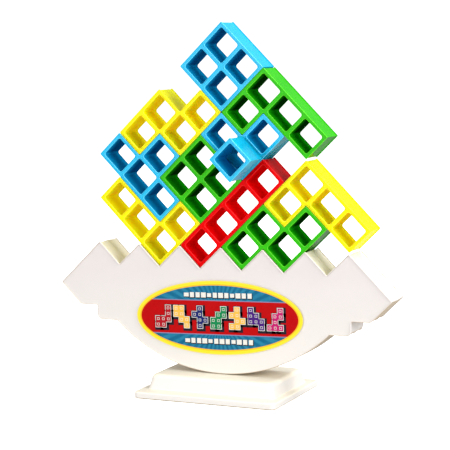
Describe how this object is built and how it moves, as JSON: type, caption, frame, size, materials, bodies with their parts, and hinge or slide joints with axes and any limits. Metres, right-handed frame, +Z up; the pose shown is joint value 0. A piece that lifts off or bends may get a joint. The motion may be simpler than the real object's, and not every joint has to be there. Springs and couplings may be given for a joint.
{
  "type": "rocking balance stacking game",
  "caption": "Table-top balancing game: a boat-shaped white rocker on a small foot, with hollow square-celled blocks stacked at 45 degrees in the notches of its toothed deck.",
  "frame": {"origin": "middle of the foot's underside, on the table", "axes": "+Z up; X along the rocker's length, +X to the player's right; -Y towards the player, the side with the label"},
  "size_m": [0.2028, 0.073, 0.2124],
  "materials": {
    "white_plastic": "satin",
    "printed_label": "glossy print",
    "blue_plastic": "gloss",
    "green_plastic": "gloss",
    "yellow_plastic": "gloss",
    "red_plastic": "gloss"
  },
  "bodies": {
    "foot": {"foot": "white_plastic"},
    "rocker": {"rocker_front": "white_plastic", "rocker_back": "white_plastic", "label_front": "printed_label"},
    "block_yellow_l": {"block_yellow_l": "yellow_plastic"},
    "block_blue_t": {"block_blue_t": "blue_plastic"},
    "block_yellow_z": {"block_yellow_z": "yellow_plastic"},
    "block_green_o": {"block_green_o": "green_plastic"},
    "block_red_i": {"block_red_i": "red_plastic"},
    "block_blue_tripod": {"block_blue_tripod": "blue_plastic"},
    "block_green_s": {"block_green_s": "green_plastic"},
    "block_yellow_j": {"block_yellow_j": "yellow_plastic"},
    "block_green_l": {"block_green_l": "green_plastic"},
    "block_blue_o": {"block_blue_o": "blue_plastic"}
  },
  "joints": [
    {"name": "rock", "type": "hinge", "parent": "foot", "child": "rocker", "pos_m": [0, 0, 0.1068], "axis": [0, 1, 0], "range_deg": [-18, 18]},
    {"name": "lift_off_yellow_l", "type": "slide", "parent": "rocker", "child": "block_yellow_l", "axis": [0, -1, 0], "range_m": [0, 0.05]},
    {"name": "lift_off_blue_t", "type": "slide", "parent": "rocker", "child": "block_blue_t", "axis": [0, -1, 0], "range_m": [0, 0.05]},
    {"name": "lift_off_yellow_z", "type": "slide", "parent": "rocker", "child": "block_yellow_z", "axis": [0, -1, 0], "range_m": [0, 0.05]},
    {"name": "lift_off_green_o", "type": "slide", "parent": "rocker", "child": "block_green_o", "axis": [0, -1, 0], "range_m": [0, 0.05]},
    {"name": "lift_off_red_i", "type": "slide", "parent": "rocker", "child": "block_red_i", "axis": [0, -1, 0], "range_m": [0, 0.05]},
    {"name": "lift_off_blue_tripod", "type": "slide", "parent": "rocker", "child": "block_blue_tripod", "axis": [0, -1, 0], "range_m": [0, 0.05]},
    {"name": "lift_off_green_s", "type": "slide", "parent": "rocker", "child": "block_green_s", "axis": [0, -1, 0], "range_m": [0, 0.05]},
    {"name": "lift_off_yellow_j", "type": "slide", "parent": "rocker", "child": "block_yellow_j", "axis": [0, -1, 0], "range_m": [0, 0.05]},
    {"name": "lift_off_green_l", "type": "slide", "parent": "rocker", "child": "block_green_l", "axis": [0, -1, 0], "range_m": [0, 0.05]},
    {"name": "lift_off_blue_o", "type": "slide", "parent": "rocker", "child": "block_blue_o", "axis": [0, -1, 0], "range_m": [0, 0.05]}
  ]
}
